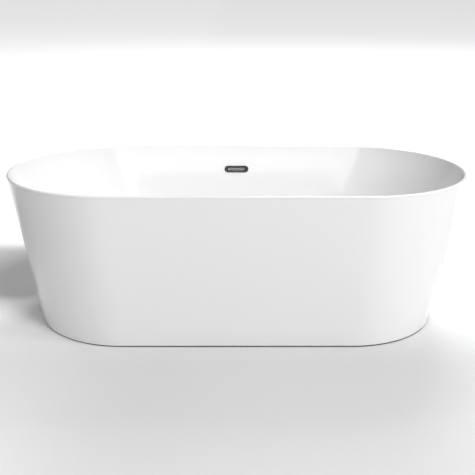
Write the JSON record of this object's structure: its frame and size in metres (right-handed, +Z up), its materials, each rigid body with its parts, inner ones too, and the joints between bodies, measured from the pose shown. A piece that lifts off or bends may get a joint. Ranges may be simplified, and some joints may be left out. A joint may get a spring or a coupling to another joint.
{
  "type": "freestanding bathtub",
  "caption": "Freestanding oval acrylic bathtub, double skin with a slim rim, slot overflow, push-to-open waste and levelling feet on a steel frame.",
  "frame": {"origin": "on the floor, under the middle of the tub, at the feet's lowest faces", "axes": "+X along the length, +Y towards the wall that holds the overflow, +Z up"},
  "size_m": [1.7, 0.8, 0.56],
  "materials": {
    "acrylic_shell": "polished white sanitary acrylic",
    "board": "resin-sealed plywood",
    "zinc_steel": "zinc plated",
    "rubber": "matt black",
    "bright_chrome": "polished",
    "dark_chrome": "dark polished",
    "brass": "machined",
    "white_plastic": "satin moulded"
  },
  "bodies": {
    "tub": {"base_board": "board", "bracket_screw_back_left": "zinc_steel", "bracket_screw_back_right": "zinc_steel", "bracket_screw_front_left": "zinc_steel", "bracket_screw_front_right": "zinc_steel", "crossbar_left": "zinc_steel", "crossbar_right": "zinc_steel", "drain_body": "bright_chrome", "drain_nut": "brass", "drain_seal": "rubber", "drain_washer": "rubber", "foot_nut_back_left": "zinc_steel", "foot_nut_back_right": "zinc_steel", "foot_nut_front_left": "zinc_steel", "foot_nut_front_right": "zinc_steel", "inner_basin": "acrylic_shell", "lock_nut_back_left": "zinc_steel", "lock_nut_back_right": "zinc_steel", "lock_nut_front_left": "zinc_steel", "lock_nut_front_right": "zinc_steel", "outer_skirt": "acrylic_shell", "overflow_cover": "dark_chrome", "overflow_duct": "white_plastic", "overflow_gasket": "rubber", "overflow_pipe": "white_plastic", "pipe_nut": "white_plastic", "plug_cartridge": "brass", "rail_back": "zinc_steel", "rail_front": "zinc_steel", "skirt_bracket_back_left": "zinc_steel", "skirt_bracket_back_right": "zinc_steel", "skirt_bracket_front_left": "zinc_steel", "skirt_bracket_front_right": "zinc_steel", "tailpiece": "white_plastic", "tailpiece_nut": "white_plastic", "waste_tee": "white_plastic", "wood_screw_back_left": "zinc_steel", "wood_screw_back_right": "zinc_steel", "wood_screw_front_left": "zinc_steel", "wood_screw_front_right": "zinc_steel"},
    "plug": {"plug_cap": "bright_chrome", "plug_seal": "rubber", "plug_stem": "brass"},
    "foot_front_left": {"foot_pad_front_left": "rubber"},
    "stud_front_left": {"foot_stud_front_left": "zinc_steel"},
    "foot_front_right": {"foot_pad_front_right": "rubber"},
    "stud_front_right": {"foot_stud_front_right": "zinc_steel"},
    "foot_back_left": {"foot_pad_back_left": "rubber"},
    "stud_back_left": {"foot_stud_back_left": "zinc_steel"},
    "foot_back_right": {"foot_pad_back_right": "rubber"},
    "stud_back_right": {"foot_stud_back_right": "zinc_steel"}
  },
  "joints": [
    {"name": "plug_slide", "type": "slide", "parent": "tub", "child": "plug", "axis": [0, 0, 1], "range_m": [0, 0.01]},
    {"name": "foot_slide_front_left", "type": "slide", "parent": "tub", "child": "foot_front_left", "axis": [0, 0, -1], "range_m": [-0.01, 0.02]},
    {"name": "stud_turn_front_left", "type": "hinge", "parent": "foot_front_left", "child": "stud_front_left", "pos_m": [-0.38422, -0.25226, 0.05], "axis": [0, 0, 1], "range_deg": [-4116, 2060]},
    {"name": "foot_slide_front_right", "type": "slide", "parent": "tub", "child": "foot_front_right", "axis": [0, 0, -1], "range_m": [-0.01, 0.02]},
    {"name": "stud_turn_front_right", "type": "hinge", "parent": "foot_front_right", "child": "stud_front_right", "pos_m": [0.38422, -0.25226, 0.05], "axis": [0, 0, 1], "range_deg": [-4116, 2060]},
    {"name": "foot_slide_back_left", "type": "slide", "parent": "tub", "child": "foot_back_left", "axis": [0, 0, -1], "range_m": [-0.01, 0.02]},
    {"name": "stud_turn_back_left", "type": "hinge", "parent": "foot_back_left", "child": "stud_back_left", "pos_m": [-0.38422, 0.25226, 0.05], "axis": [0, 0, 1], "range_deg": [-4116, 2060]},
    {"name": "foot_slide_back_right", "type": "slide", "parent": "tub", "child": "foot_back_right", "axis": [0, 0, -1], "range_m": [-0.01, 0.02]},
    {"name": "stud_turn_back_right", "type": "hinge", "parent": "foot_back_right", "child": "stud_back_right", "pos_m": [0.38422, 0.25226, 0.05], "axis": [0, 0, 1], "range_deg": [-4116, 2060]}
  ],
  "couplings": [
    {"joint": "stud_turn_front_left", "follows": "foot_slide_front_left", "rad_per_m": -3590.4},
    {"joint": "stud_turn_front_right", "follows": "foot_slide_front_right", "rad_per_m": -3590.4},
    {"joint": "stud_turn_back_left", "follows": "foot_slide_back_left", "rad_per_m": -3590.4},
    {"joint": "stud_turn_back_right", "follows": "foot_slide_back_right", "rad_per_m": -3590.4}
  ]
}
